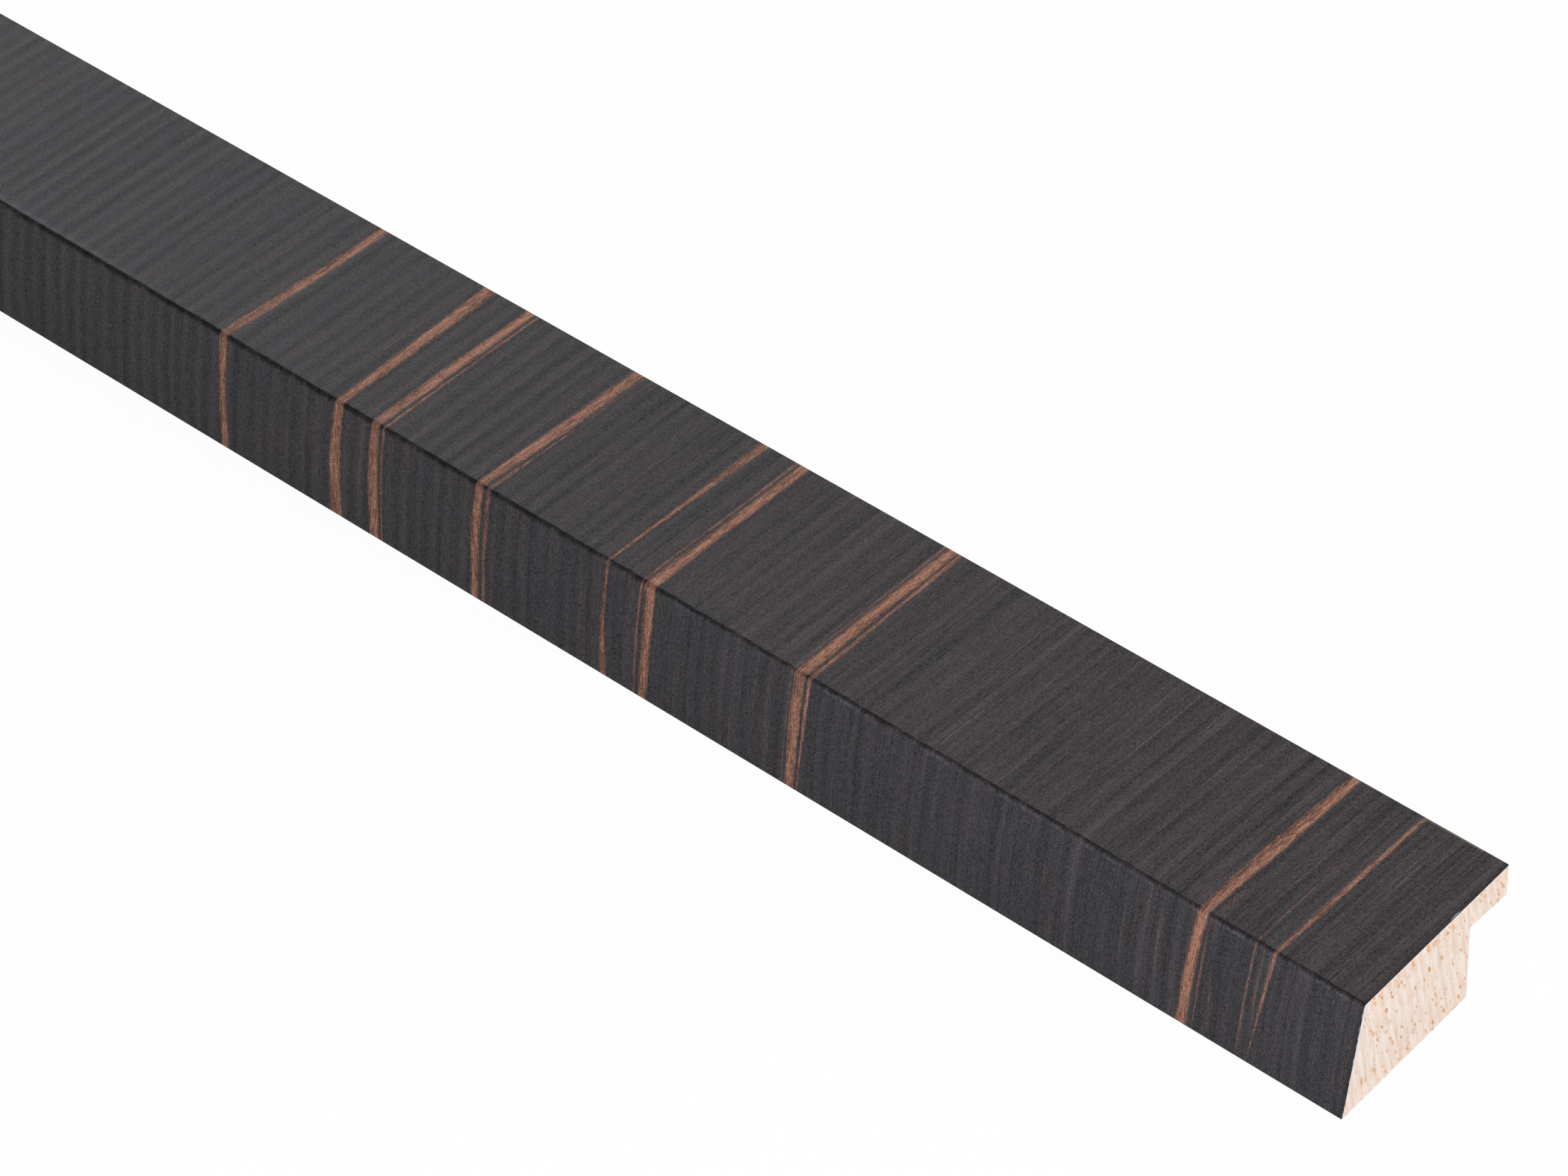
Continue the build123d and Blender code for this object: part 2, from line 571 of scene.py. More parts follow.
        # Farther from that end a painted sheen, a thin highlight line, lies just above the arris
        far = add(tree, SMOOTH, sheet.along, 445.0, 405.0, 0.0, 0.06)
        painted_sheen = add(tree, TIMES, strip(tree, sheet.down, (22.7, 23.4), (23.7, 23.5)), far)
        return (scuffs, self.chalk), (painted_sheen, self.chalk)

    def sawn(self, sheet: SheetMarks) -> Layers:
        """Marks what the saw did at the near end.

        Args:
            sheet: The sheet's places and marks.
        Returns:
            The saw's marks, and the sheet's cut ends.
        """
        tree = sheet.tree
        # The last half millimetre is darker, and the face's edge is chipped once
        darker = add(tree, SMOOTH, sheet.along, 599.3, 599.9, 0.0, 0.3)
        from_chip = add(tree, FROM, sheet.grain, self.chip_place)
        shrunk = (0.0, 1 / self.chip_half[0], 1 / self.chip_half[1])
        from_chip = add(tree, STRETCHED, from_chip, shrunk)
        reach = add(tree, LENGTH, from_chip).outputs["Value"]
        chip = add(tree, SMOOTH, reach, 1.0, 0.5, 0.0, 0.7)

        # Sawdust has rubbed the lacquer off the sight edge there, over 7 mm
        rubbed = add(tree, SMOOTH, sheet.down, 0.3, 0.12, 0.0, 0.7)
        over = add(tree, Kind("ShaderNodeMath", operation="COMPARE"), sheet.along, 593.4, 3.6)
        rubbed = add(tree, TIMES, rubbed, over)

        # The cut end of the sheet is dark, with paler chips down the side
        chips = fibres(tree, sheet.grain, (LONG, 0.35, LONG), 2.0)
        chips = add(tree, SMOOTH, chips, 0.5, 0.62, 0.0, 0.45)
        on_side = add(tree, SMOOTH, sheet.down, 23.8, 24.4)
        chips = add(tree, TIMES, chips, on_side)
        end = covered(tree, self.sawn_edge, (chips, self.chalk))
        cut = add(tree, Kind("ShaderNodeAttribute", attribute_name="cut")).outputs["Fac"]
        return (darker, self.arris_shade_and_edge_black), (chip, self.chalk), (rubbed, self.olive), (cut, end)


@dataclass(frozen=True)
class SawnPaleWood:
    """Pale straight-grained hardwood, milled along the stick and sawn square at its ends.

    The cut end shows growth bands square to the face and open vessels as short orange-brown dashes. The milled
    sides show fine long grain, a little yellower. It is bare wood, so it has almost no gloss.
    """

    end_wood: str = "#FAEEDA"
    end_band: str = "#EACBAB"
    end_tint: str = "#EFC7A4"
    vessel: str = "#ECB982"
    deep_vessel: str = "#D89C52"
    chalk: str = "#E9E4DC"
    glue: str = "#FFF0DC"
    long_wood: str = "#E9D3BC"
    long_line: str = "#D9B797"
    ring_gap: float = 1.3                            # mm from one growth band to the next
    ring_lean: float = 0.19                          # mm outwards for each mm up, about ten degrees
    cell: Triple = (1.1, 1.5, 1.0)                   # mm; each has one vessel at most
    vessel_half: tuple[float, float] = (0.23, 0.58)  # mm; a real one is finer, and wouldn't show
    roughness: float = 0.75
    gloss: float = 0.3

    def material(self) -> bpy.types.Material:
        """Makes the material; places are in millimetres, from Object coordinates."""
        made = bpy.data.materials.new("pale_hardwood_sawn_and_milled")
        made.use_nodes = True
        tree = made.node_tree
        shader = tree.nodes["Principled BSDF"]
        metres = add(tree, "ShaderNodeTexCoord").outputs["Object"]
        place = add(tree, SCALED, metres, Scale=1 / MM)
        facing = add(tree, SPLIT, add(tree, "ShaderNodeNewGeometry").outputs["True Normal"])
        end_on = add(tree, UNSIGNED, facing)
        end_on = add(tree, SMOOTH, end_on, 0.6, 0.8)
        end, end_relief = self.sawn_end(tree, place)
        side, side_relief = self.milled_side(tree, place)
        colour = covered(tree, side, (end_on, end))
        relief = add(tree, MIX, Factor=end_on, A=side_relief, B=end_relief)
        bump = add(tree, "ShaderNodeBump", Strength=0.5, Distance=0.08 * MM, Height=relief)
        tree.links.new(colour.outputs[2], shader.inputs["Base Color"])
        tree.links.new(bump.outputs[0], shader.inputs["Normal"])
        shader.inputs["Roughness"].default_value = self.roughness
        shader.inputs["Specular IOR Level"].default_value = self.gloss
        return made

    def sawn_end(self, tree: Tree, place: Node) -> tuple[Node, Node]:
        """Draws the sawn end: growth bands, open vessels, and crushed fibres and glue beside the sheet.

        Args:
            tree: The material's tree.
            place: Object coordinates in millimetres.
        Returns:
            The end's colour and its relief.
        """
        along, across, up = add(tree, SPLIT, place).outputs

        # Growth bands stand nearly square to the face, and lean outwards towards it
        lean = add(tree, TIMES_PLUS, up, self.ring_lean, across)
        ring = add(tree, JOIN, lean, up, along)
        sway = sum_of(tree, 0.0, (fibres(tree, ring, (4.0, 6.0, 60.0)), 0.8))
        swayed = add(tree, MOVED, ring, add(tree, JOIN, sway))
        wave = add(tree, TIMES, add(tree, SPLIT, swayed), 2 * math.pi / self.ring_gap)
        wave = add(tree, SINE, wave)
        wave = add(tree, TIMES_PLUS, wave, 0.5, 0.5)
        bands = fibres(tree, swayed, (0.4, 4.0, 300.0))
        cloud = fibres(tree, swayed, (4.0, 4.0, 300.0))
        grain = fibres(tree, swayed, (0.14, 0.26, 30.0))
        share = sum_of(tree, 0.4, (wave, 0.3), (bands, 1.2), (cloud, 0.5), (grain, 1.6))
        share = add(tree, SMOOTH, share, 0.05, 1.05)
        tint = sum_of(tree, 0.3, (fibres(tree, swayed, (0.5, 1.4, 300.0)), 2.0))
        tint = add(tree, SMOOTH, tint, 0.3, 0.8)
        near_face = add(tree, SMOOTH, up, 10.5, 14.2)
        tint = add(tree, TIMES, tint, near_face)
        open_ends, brown = self.vessels(tree, ring, swayed, cloud)

        # Beside the sheet the sawn fibres are crushed to a chalky strip down from the arris, and glue shows
        # under the face. The outer side leans by 0.216 mm for each mm up
        inwards = sum_of(tree, 0.0, (fibres(tree, place, (LONG, 0.3, 0.3), 2.0), 1.3), (cloud, 0.6))
        from_side = add(tree, TIMES_PLUS, up, -0.216, across)
        from_side = add(tree, PLUS, from_side, inwards)
        crushed = add(tree, SMOOTH, from_side, -12.45, -13.1, 0.0, 0.75)
        crushed = add(tree, TIMES, crushed, add(tree, SMOOTH, up, 2.0, 8.0))
        glue = add(tree, SMOOTH, up, 14.15, 14.3)
        end = covered(tree, self.end_wood, (share, self.end_band), (tint, self.end_tint), (open_ends, brown),
                      (crushed, self.chalk), (glue, self.glue))

        # The saw leaves fine scores
        scores = fibres(tree, place, (30.0, 0.25, 5.0))
        return end, sum_of(tree, 0.5, (scores, 0.5), (open_ends, -0.9), (grain, 0.4))

    def vessels(self, tree: Tree, ring: Node, swayed: Node,
                cloud: Node) -> tuple[Node, Node]:
        """Draws the open vessels as dashes, one to a cell, in some cells only.

        Args:
            tree: The material's tree.
            ring: The place square to the growth bands, up, and along the stick.
            swayed: The same place, with the bands' sway.
            cloud: Broad noise; the vessels keep to parts of it.
        Returns:
            Where they are, and their colour.
        """
        # They lean more than the bands, and are bent
        bent = sum_of(tree, 0.0, (fibres(tree, ring, (0.45, 0.45, 60.0)), 0.45))
        hooked = add(tree, MOVED, swayed, add(tree, JOIN, bent, bent))
        tilted = add(tree, SPLIT, hooked)
        _, up, _ = add(tree, SPLIT, ring).outputs
        tilt = add(tree, TIMES_PLUS, up, 0.18, tilted.outputs[0])
        hooked = add(tree, JOIN, tilt, tilted.outputs[1])

        in_cells = add(tree, SHRUNK, hooked, self.cell)
        cells = add(tree, Kind("ShaderNodeTexVoronoi", voronoi_dimensions="2D"), Vector=in_cells, Scale=1.0)
        away = add(tree, FROM, in_cells, cells.outputs["Position"])
        stretch = (self.cell[0] / self.vessel_half[0], self.cell[1] / self.vessel_half[1], 0.0)
        away = add(tree, STRETCHED, away, stretch)
        reach = add(tree, LENGTH, away).outputs["Value"]
        kept, big, deep = add(tree, SPLIT, cells.outputs["Color"]).outputs
        size = add(tree, TIMES_PLUS, big, 0.75, 0.45)
        core = add(tree, TIMES, size, 0.45)
        dashes = add(tree, SMOOTH, reach, size, core)
        some = sum_of(tree, 0.0, (kept, 1.0), (cloud, 2.2))
        some = add(tree, SMOOTH, some, -0.4, 0.35)
        where = add(tree, TIMES, dashes, some)
        return where, covered(tree, self.vessel, (deep, self.deep_vessel))

    def milled_side(self, tree: Tree, place: Node) -> tuple[Node, Node]:
        """Draws the milled sides: the same bands and vessels seen along their length.

        Args:
            tree: The material's tree.
            place: Object coordinates in millimetres.
        Returns:
            The sides' colour and their relief.
        """
        streaks = fibres(tree, place, (45.0, 0.5, 0.5), 2.0)
        pores = fibres(tree, place, (3.0, 0.12, 0.12))
        share = sum_of(tree, 0.5, (streaks, 1.8), (pores, 0.9))
        share = add(tree, SMOOTH, share, 0.2, 1.0)
        side = covered(tree, self.long_wood, (share, self.long_line))
        # The cutters leave ripples about 1 mm apart
        ripple = fibres(tree, place, (0.9, 30.0, 30.0), 0.0)
        return side, sum_of(tree, 0.5, (ripple, 0.5), (pores, 0.6))


@dataclass(frozen=True)
class StudioFloor:
    """Matt white paper sweep. The camera and the gloss see it as white, and it keeps the stick's soft shadow."""

    paper: str = "#FFFFFF"
    shadow_share: float = 0.035

    def material(self) -> bpy.types.Material:
        """Makes the material: paper for the light that falls on it, and mostly white for what looks at it."""
        made = bpy.data.materials.new("white_paper_sweep")
        made.use_nodes = True
        tree = made.node_tree
        shader = tree.nodes["Principled BSDF"]
        shader.inputs["Base Color"].default_value = linear(self.paper)
        shader.inputs["Roughness"].default_value = 1.0
        shader.inputs["Specular IOR Level"].default_value = 0.0
        white = add(tree, "ShaderNodeEmission", Color=(1.0, 1.0, 1.0, 1.0), Strength=1.0)
        share = add(tree, TIMES, looked_at(tree), 1 - self.shadow_share)
        mixed = add(tree, "ShaderNodeMixShader", share, shader.outputs[0], white)
        tree.links.new(mixed.outputs[0], tree.nodes["Material Output"].inputs["Surface"])
        return made


def looked_at(tree: Tree) -> Node:
    """Tells the rays that look at the background from those that light the stick.

    Args:
        tree: The tree of the floor or the world.
    Returns:
        1 for camera, glossy and transmission rays, and 0 for the rest.
    """
    rays = add(tree, "ShaderNodeLightPath")
    pair = add(tree, LARGER, rays.outputs["Is Camera Ray"], rays.outputs["Is Glossy Ray"])
    return add(tree, LARGER, pair, rays.outputs["Is Transmission Ray"])


def put_in_scene(name: str, data: Any) -> bpy.types.Object:
    """Makes an object of a mesh, lamp or camera in the scene.

    Args:
        name: The object's name.
        data: Its mesh, lamp or camera.
    Returns:
        The object, at the origin, unturned and unscaled.
    """
    made = bpy.data.objects.new(name, data)
    bpy.context.scene.collection.objects.link(made)
    return made


def run_tree(start: bpy.types.Mesh, tree: Tree, values: dict[str, Any], name: str) -> bpy.types.Object:
    """Runs a Geometry Nodes tree on a starting mesh and keeps what it makes as a plain mesh.

    Args:
        start: The mesh that goes in.
        tree: The tree, with named inputs.
        values: Input values by name.
        name: Name of the finished piece.
    Returns:
        The finished piece.
    """
    worked = put_in_scene(name + "_start", start)
    modifier = worked.modifiers.new(name, "NODES")
    modifier.node_group = tree
    for item in tree.interface.items_tree:
        if item.item_type == "SOCKET" and item.in_out == "INPUT" and item.name in values:
            modifier[item.identifier] = values[item.name]
    mesh = bpy.data.meshes.new_from_object(worked.evaluated_get(bpy.context.evaluated_depsgraph_get()))
    mesh.name = name
    bpy.data.objects.remove(worked)
    mesh.set_sharp_from_angle(angle=math.radians(30))
    return put_in_scene(name, mesh)


def new_tree(name: str, lengths: tuple[str, ...], counts: tuple[str, ...] = ()) -> Tree:
    """Starts a Geometry Nodes tree.

    Args:
        name: The tree's name.
        lengths: Names of its number inputs, in metres or radians.
        counts: Names of its whole-number inputs.
    Returns:
        The tree, with a geometry input and output and a Material input besides.
    """
    tree = bpy.data.node_groups.new(name, "GeometryNodeTree")
    sockets = [("Geometry", "Geometry"), *((n, "Float") for n in lengths), *((n, "Int") for n in counts),
               ("Material", "Material")]
    for socket_name, kind in sockets:
        tree.interface.new_socket(socket_name, in_out="INPUT", socket_type=f"NodeSocket{kind}")
    tree.interface.new_socket("Geometry", in_out="OUTPUT", socket_type="NodeSocketGeometry")
    return tree


def end_tree(tree: Tree, geometry: Any, given: Node) -> None:
    """Ends a tree in Realize Instances and Set Material.

    Args:
        tree: The tree.
        geometry: What it has made.
        given: Its Group Input node.
    """
    real = add(tree, "GeometryNodeRealizeInstances", Geometry=geometry)
    dressed = add(tree, "GeometryNodeSetMaterial", Geometry=real, Material=given.outputs["Material"])
    add(tree, "NodeGroupOutput", Geometry=dressed)


@dataclass
class VeneerSheet:
    """The sheet of veneer: laid out flat with its streaks, then wrapped over the face, arris and outer side."""

    section: Section
    finish: EbonyVeneer
    face_rows: int = 12
    arris_rows: int = 8
    side_rows: int = 8
    clear: float = 0.08             # mm between the turn and the rows beside it
    bay: float = 120.0              # mm of stick on each strip of the bake map
    first_unseen: float = -245.0    # mm from the near end to the first streak that is strewn
    seed: int = 4187
    streaks: list[Streak] = field(default_factory=list)

    # How far the fibres run off square, in millimetres along the stick at each station
    LEAN: ClassVar[tuple[float, ...]] = (0.0, -0.55, -1.1, -1.2, -0.75)

    def rows(self) -> list[float]:
        """Distances from the sight edge at which the sheet has a row of points, close together at the turn."""
        a, b, end = self.section.bend_start, self.section.bend_end, self.section.sheet_width
        face = [(a - self.clear) * i / self.face_rows for i in range(self.face_rows + 1)]
        turn = [a + (b - a) * i / self.arris_rows for i in range(self.arris_rows + 1)]
        side = [b + self.clear + (end - b - self.clear) * i / self.side_rows for i in range(self.side_rows + 1)]
        return face + turn + side

    def unseen_streaks(self) -> Iterator[Streak]:
        """Strews streaks like the near ones over the rest of the stick, with a fixed seed.

        Returns:
            The streaks, some with a thin line beside them.
        """
        chance = random.Random(self.seed)
        x = self.first_unseen
        while x > 12 - self.section.length:
            lean, drift = chance.uniform(0.6, 1.2), chance.uniform(-0.3, 0.3)
            centre = tuple(x + lean * at + drift * s / 38 for at, s in zip(self.LEAN, Streak.STATIONS))
            broad = chance.triangular(0.35, 1.9, 1.3)
            width = tuple(broad * chance.uniform(0.75, 1.2) for _ in centre)
            yield Streak(centre, width, chance.uniform(0.85, 1.0))
            if chance.random() < 0.6:
                thin = chance.uniform(0.15, 0.45)
                away = chance.choice((-1, 1)) * (broad * 0.6 + thin / 2 + chance.uniform(0.3, 0.5))
                yield Streak(tuple(c + away for c in centre),
                             tuple(thin * chance.uniform(0.5, 1.3) for _ in centre), chance.uniform(0.5, 0.8))
            x -= chance.choice((6.0, 10.0, 16.0, 19.0, 22.0, 28.0, 45.0)) * chance.uniform(0.9, 1.1)

    def flat_mesh(self) -> bpy.types.Mesh:
        """Lays the sheet out flat, with one column of faces to each streak.

        Returns:
            A closed mesh: X along the stick, Y in from the sight edge, Z up from the glue line. Its corners hold
            the distance to the streak's centre, and its points hold the grain.
        """
        half, rows = self.section.length / 2, self.rows()
        lines = [[half + streak.place(s) for s in rows] for streak in self.streaks]
        halves = [[streak.half(s) for s in rows] for streak in self.streaks]
        bounds = [[-half] * len(rows)]
        for left, right in zip(range(len(lines)), range(1, len(lines))):
            bounds.append([(lines[left][i] + halves[left][i] + lines[right][i] - halves[right][i]) / 2
                           for i in range(len(rows))])
        bounds.append([half] * len(rows))

        columns, count = len(bounds), len(rows)
        points, grain = [], []
        for layer in Layer:
            for i, s in enumerate(rows):
                for column in bounds:
                    x = column[i]
                    points.append((x * MM, s * MM, layer.value * self.section.sheet * MM))
                    grain.append((x - curve_through(Streak.STATIONS, self.LEAN, s), s, x))

        def at(layer: int, i: int, k: int) -> int:
            """Number of the point in that layer, row and column."""
            return (layer * count + i) * columns + k

        faces, values, cut, places = [], [], [], []
        strips, tall = self.strip_of(bounds), self.section.sheet_width
        high = 1 / (max(strips) + 2)
        first = {n: min(bounds[k][i] for k in range(columns - 1) if strips[k] == n for i in range(count))
                 for n in set(strips)}
        last = {n: max(bounds[k + 1][i] for k in range(columns - 1) if strips[k] == n for i in range(count))
                for n in set(strips)}
        broadest = max(last[n] - first[n] for n in first) * 1.01
        for k in range(columns - 1):
            for i in range(count - 1):
                corners = ((i, k), (i, k + 1), (i + 1, k + 1), (i + 1, k))
                faces.append([at(1, *c) for c in corners])
                values += [(bounds[c][r] - lines[k][r], halves[k][r], self.streaks[k].strength)
                           for r, c in corners]
                cut.append(0.0)
                places += [((bounds[c][r] - first[strips[k]]) / broadest + 0.003,
                            (strips[k] + 0.03 + 0.94 * rows[r] / tall) * high) for r, c in corners]
        hidden = len(faces)
        for k in range(columns - 1):
            for i in range(count - 1):
                faces.append([at(0, *c) for c in ((i + 1, k), (i + 1, k + 1), (i, k + 1), (i, k))])
            faces.append([at(0, 0, k), at(0, 0, k + 1), at(1, 0, k + 1), at(1, 0, k)])
            foot = count - 1
            faces.append([at(1, foot, k), at(1, foot, k + 1), at(0, foot, k + 1), at(0, foot, k)])
        ends = len(faces)
        for i in range(count - 1):
            faces.append([at(0, i + 1, 0), at(0, i, 0), at(1, i, 0), at(1, i + 1, 0)])
            k = columns - 1
            faces.append([at(0, i, k), at(0, i + 1, k), at(1, i + 1, k), at(1, i, k)])
        values += [(NO_STREAK, 0.0, 0.0)] * (4 * (len(faces) - hidden))
        cut += [0.0] * (ends - hidden) + [1.0] * (len(faces) - ends)
        # The shown side fills the strips of the map; its highest strip is spare for the glued side and the edges
        spare = 1 - high
        for number, face in enumerate(faces[hidden:], hidden):
            for v in face:
                x, s, z = points[v]
                u = x / MM / self.section.length + 0.5
                if number >= ends:
                    place = 0.02 + 0.6 * s / MM / tall, (x > 0) * 0.12 + 0.1 + 0.09 * (z > 0)
                else:
                    place = 0.02 + 0.9 * u, 0.45 + 0.4 * s / MM / tall + 0.04 * (z > 0)
                places.append((place[0], spare + high * place[1]))

        mesh = bpy.data.meshes.new("veneer_sheet_flat")
        mesh.from_pydata(points, [], faces)
        for name, kind, domain, key, data in (("grain", "FLOAT_VECTOR", "POINT", "vector", grain),
                                              ("streak", "FLOAT_VECTOR", "CORNER", "vector", values),
                                              ("cut", "FLOAT", "FACE", "value", [(c,) for c in cut])):
            mesh.attributes.new(name, kind, domain).data.foreach_set(key, [n for item in data for n in item])
        mesh.uv_layers.new(name=BAKE_MAP).uv.foreach_set("vector", [n for item in places for n in item])
        mesh.polygons.foreach_set("use_smooth", [True] * len(faces))
        return mesh

    def strip_of(self, bounds: list[list[float]]) -> list[int]:
        """Shares the columns of faces out to the strips of the bake map.

        Args:
            bounds: The columns' edges, in millimetres.
        Returns:
            The strip's number for each column.
        """
        start, middle, number, shares = bounds[0][0], len(bounds[0]) // 2, 0, []
        for left, right in zip(bounds, bounds[1:]):
            if right[middle] - start > self.bay * 1.12 and shares:
                number, start = number + 1, left[middle]
            shares.append(number)
        return shares

    def wrap_tree(self) -> Tree:
        """Makes the tree that wraps a flat sheet: straight over the face, round the arris, and down the side.

        Returns:
            The tree. It reads each point's place on the flat sheet and its height over the glue line.
        """
        tree = new_tree("wrap_over_arris", ("Sight Edge", "Face Height", "Bend Start", "Arris Radius", "Turn"))
        given = add(tree, "NodeGroupInput")
        along, from_sight, height = add(tree, SPLIT, add(tree, "GeometryNodeInputPosition")).outputs
        radius, turn, start = (given.outputs[n] for n in ("Arris Radius", "Turn", "Bend Start"))

        # How much of the way from the sight edge is straight over the face, round the arris, and down the side
        past = add(tree, MINUS, from_sight, start)
        on_face = add(tree, SMALLER, from_sight, start)
        angle = add(tree, OVER, past, radius)
        angle = add(tree, LARGER, angle, 0.0)
        angle = add(tree, SMALLER, angle, turn)
        on_side = add(tree, MINUS, past, add(tree, TIMES, radius, turn))
        on_side = add(tree, LARGER, on_side, 0.0)

        # Where that lies, across the stick and up from the back
        reach = add(tree, PLUS, radius, height)
        round_arris = add(tree, TIMES, reach, add(tree, SINE, angle))
        outwards = add(tree, TIMES, on_side, add(tree, COSINE, turn))
        inwards = add(tree, PLUS, on_face, round_arris)
        inwards = add(tree, PLUS, inwards, outwards)
        across = add(tree, MINUS, given.outputs["Sight Edge"], inwards)
        lift = add(tree, TIMES, reach, add(tree, COSINE, angle))
        lift = add(tree, MINUS, lift, radius)
        drop = add(tree, TIMES, on_side, add(tree, SINE, turn))
        up = add(tree, PLUS, given.outputs["Face Height"], lift)
        up = add(tree, MINUS, up, drop)
        wrapped = add(tree, JOIN, along, across, up)
        placed = add(tree, "GeometryNodeSetPosition", Geometry=given.outputs["Geometry"], Position=wrapped)
        # The flat sheet's Y runs against the stick's, so the wrap mirrors it and its faces are turned back
        turned = add(tree, "GeometryNodeFlipFaces", Mesh=placed)
        end_tree(tree, turned, given)
        return tree

    def build(self) -> bpy.types.Object:
        """Builds the sheet in place of the CAD one.

        Returns:
            The finished piece.
        """
        self.streaks = sorted([*NEAR_STREAKS, *self.unseen_streaks()], key=lambda streak: streak.place(12.0))
        section = self.section
        values = {"Sight Edge": section.sight * MM, "Face Height": section.core_height * MM,
                  "Bend Start": section.bend_start * MM, "Arris Radius": section.arris_radius * MM,
                  "Turn": section.turn, "Material": self.finish.material()}
        piece = run_tree(self.flat_mesh(), self.wrap_tree(), values, "ebony_veneer_sheet")
        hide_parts("veneer_wrap")
        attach(piece, "root")
        return piece


@dataclass
class WoodCore:
    """The milled core with its undercut rabbet, drawn out from its section."""

    section: Section
    finish: SawnPaleWood
    bays: int = 10                  # lengths that the stick is divided into, one to each strip of the bake map

    def section_mesh(self) -> bpy.types.Mesh:
        """Outline of the section as edges; both signs are changed, as Curve to Mesh turns it by half a turn."""
        outline = self.section.core_outline()
        mesh = bpy.data.meshes.new("core_section")
        edges = [(i, (i + 1) % len(outline)) for i in range(len(outline))]
        mesh.from_pydata([(-y * MM, -z * MM, 0.0) for y, z in outline], edges, [])
        return mesh

    def moulder_tree(self) -> Tree:
        """Makes the tree that draws a section out along the stick.

        Returns:
            The tree.
        """
        tree = new_tree("moulder", ("Stock Length",), ("Bays",))
        given = add(tree, "NodeGroupInput")
        half = add(tree, TIMES, given.outputs["Stock Length"], 0.5)
        back = add(tree, TIMES, half, -1.0)
        path = add(tree, "GeometryNodeCurvePrimitiveLine",
                   Start=add(tree, JOIN, back), End=add(tree, JOIN, half))
        stops = add(tree, PLUS, given.outputs["Bays"], 1.0)
        divided = add(tree, "GeometryNodeResampleCurve", Curve=path, Count=stops)
        outline = add(tree, "GeometryNodeMeshToCurve", Mesh=given.outputs["Geometry"])
        drawn = add(tree, "GeometryNodeCurveToMesh",
                    Curve=divided, **{"Profile Curve": outline, "Fill Caps": True})
        end_tree(tree, drawn, given)
        return tree

    def lay_out_bake(self, mesh: bpy.types.Mesh) -> None:
        """Gives the sawn ends and each bay's sides their places on the bake map.

        Args:
            mesh: The finished core.
        """
        section, layer = self.section, mesh.uv_layers.new(name=BAKE_MAP).uv
        width, height = 2 * section.sight, section.core_height
        bay = section.length / self.bays
        for face in mesh.polygons:
            spots = [mesh.vertices[mesh.loops[i].vertex_index].co / MM for i in face.loop_indices]
            normal, middle = face.normal, sum(spots, Vector()) / len(spots)
            if abs(normal.x) > 0.9:
                # the ends lie side by side on the top fifth
                left = 0.01 if normal.x > 0 else 0.51
                spread = [(left + 0.48 * (p.y / width + 0.5), 0.81 + 0.18 * p.z / height) for p in spots]
            else:
                number = min(int((middle.x + section.length / 2) // bay), self.bays - 1)
                along = [0.01 + 0.98 * ((p.x + section.length / 2) - number * bay) / bay for p in spots]
                step = 0.8 / self.bays
                if normal.z < -0.9 and middle.z < 1:
                    share = [0.02 + 0.46 * (p.y / width + 0.5) for p in spots]
                elif normal.y > 0.9 and middle.y < section.sight - 1:
                    share = [0.46 + 0.22 * p.z / height for p in spots]
                elif normal.z < -0.9:
                    share = [0.68 + 0.13 * (section.sight - p.y) / section.rabbet_width for p in spots]
                elif normal.y > 0.9:
                    share = [0.83 + 0.1 * (height - p.z) / section.lip_thickness for p in spots]
                else:
                    share = [0.95 + 0.02 * (p.y / width + 0.5) + 0.01 * p.z / height for p in spots]
                spread = [(u, (number + v) * step) for u, v in zip(along, share)]
            for i, place in zip(face.loop_indices, spread):
                layer[i].vector = place

    def build(self) -> bpy.types.Object:
        """Builds the core in place of the CAD one.

        Returns:
            The finished piece.
        """
        values = {"Stock Length": self.section.length * MM, "Bays": self.bays,
                  "Material": self.finish.material()}
        piece = run_tree(self.section_mesh(), self.moulder_tree(), values, "wood_core_milled")
        self.lay_out_bake(piece.data)
        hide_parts("wood_core")
        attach(piece, "root")
        return piece


@dataclass(frozen=True)
class Softbox:
    """A square soft lamp, placed in metres and aimed at the near end of the stick."""

    name: str
    place: Triple
    size: float
    power: float
    tint: str = "#FFFFFF"


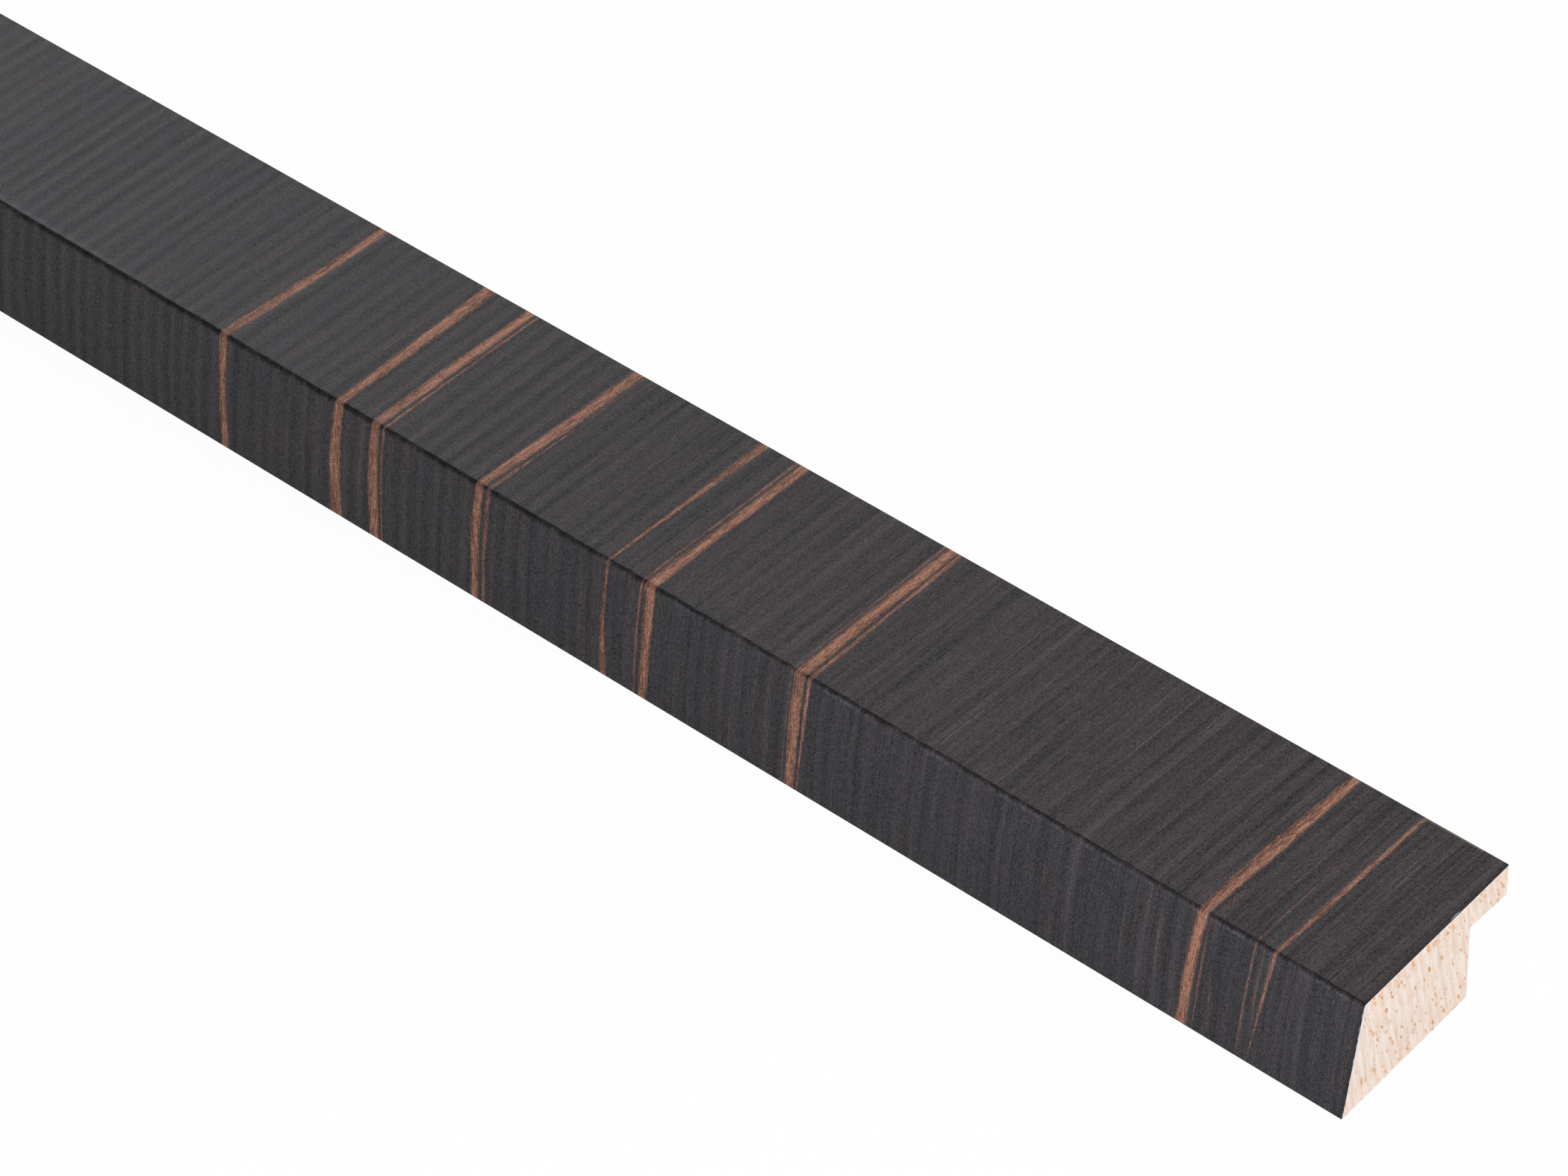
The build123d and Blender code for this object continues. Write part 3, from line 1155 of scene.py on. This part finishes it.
@dataclass
class Studio:
    """White floor, soft light at a plain level, and the camera at the photograph's angle."""

    floor_finish: StudioFloor
    aim: Triple = (0.45, 0.0, 0.0)
    camera_place: Triple = (0.8069, -0.3055, 0.4259)      # metres
    camera_turn: Triple = (45.512, 2.596, 41.108)         # degrees about X, Y and Z
    lens: float = 127.4                                   # mm, on a sensor 36 mm wide
    sky: float = 0.24
    lamps: tuple[Softbox, ...] = (
        Softbox("front_right_softbox", (1.6, -0.8, 0.85), 0.9, 4.0),
        Softbox("left_window", (-1.6, 1.0, 1.5), 1.6, 54.0, "#F7F8FF"),
        Softbox("near_end_softbox", (0.84, -0.27, 0.2), 0.2, 1.12, "#ECE9FF"),
    )

    def lay_floor(self) -> None:
        """Lays the floor under the stick's back and marks it as stage."""
        mesh = bpy.data.meshes.new("floor")
        mesh.from_pydata([(-6, -6, 0), (6, -6, 0), (6, 6, 0), (-6, 6, 0)], [], [(0, 1, 2, 3)])
        mesh.materials.append(self.floor_finish.material())
        floor = put_in_scene("floor", mesh)
        floor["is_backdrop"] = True

    def light(self) -> None:
        """Sets the even sky and hangs the lamps."""
        world = bpy.data.worlds.new("studio")
        world.use_nodes = True
        tree = world.node_tree
        background = tree.nodes["Background"]
        background.inputs["Color"].default_value = (1.0, 1.0, 1.0, 1.0)
        level = add(tree, MIX, Factor=looked_at(tree), A=self.sky, B=1.0)
        tree.links.new(level.outputs[0], background.inputs["Strength"])
        bpy.context.scene.world = world
        for box in self.lamps:
            lamp = bpy.data.lights.new(box.name, "AREA")
            lamp.shape, lamp.size, lamp.energy = "SQUARE", box.size, box.power
            lamp.color = linear(box.tint)[:3]
            hung = put_in_scene(box.name, lamp)
            hung.location = box.place
            hung.rotation_euler = (Vector(self.aim) - Vector(box.place)).to_track_quat("-Z", "Y").to_euler()

    def set_camera(self) -> None:
        """Places the camera."""
        lens = bpy.data.cameras.new("camera")
        lens.lens, lens.sensor_width, lens.sensor_fit = self.lens, 36.0, "HORIZONTAL"
        lens.clip_start, lens.clip_end = 0.01, 50.0
        camera = put_in_scene("camera", lens)
        camera.location = self.camera_place
        camera.rotation_euler = Euler([math.radians(a) for a in self.camera_turn], "XYZ")
        bpy.context.scene.camera = camera

    def build(self) -> None:
        """Builds the studio."""
        self.lay_floor()
        self.light()
        self.set_camera()
        bpy.context.scene.view_settings.view_transform = "Standard"


def corners() -> list[list[float]]:
    """Lowest and highest corner of the shown object, as plain numbers."""
    return [[float(c) for c in corner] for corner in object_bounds()]


def main() -> None:
    """Builds the stick and its studio."""
    logging.basicConfig(level=logging.INFO, format="%(name)s: %(message)s")
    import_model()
    section = Section()
    for maker in (WoodCore(section, SawnPaleWood()), VeneerSheet(section, EbonyVeneer())):
        piece = maker.build()
        low, high = (Vector(piece.bound_box[i]) / MM for i in (0, 6))
        LOG.info("%s: %d faces, %s to %s mm", piece.name, len(piece.data.polygons),
                 tuple(round(c, 3) for c in low), tuple(round(c, 3) for c in high))
    Studio(StudioFloor()).build()
    LOG.info("studio is set")


if __name__ == "__main__":
    main()
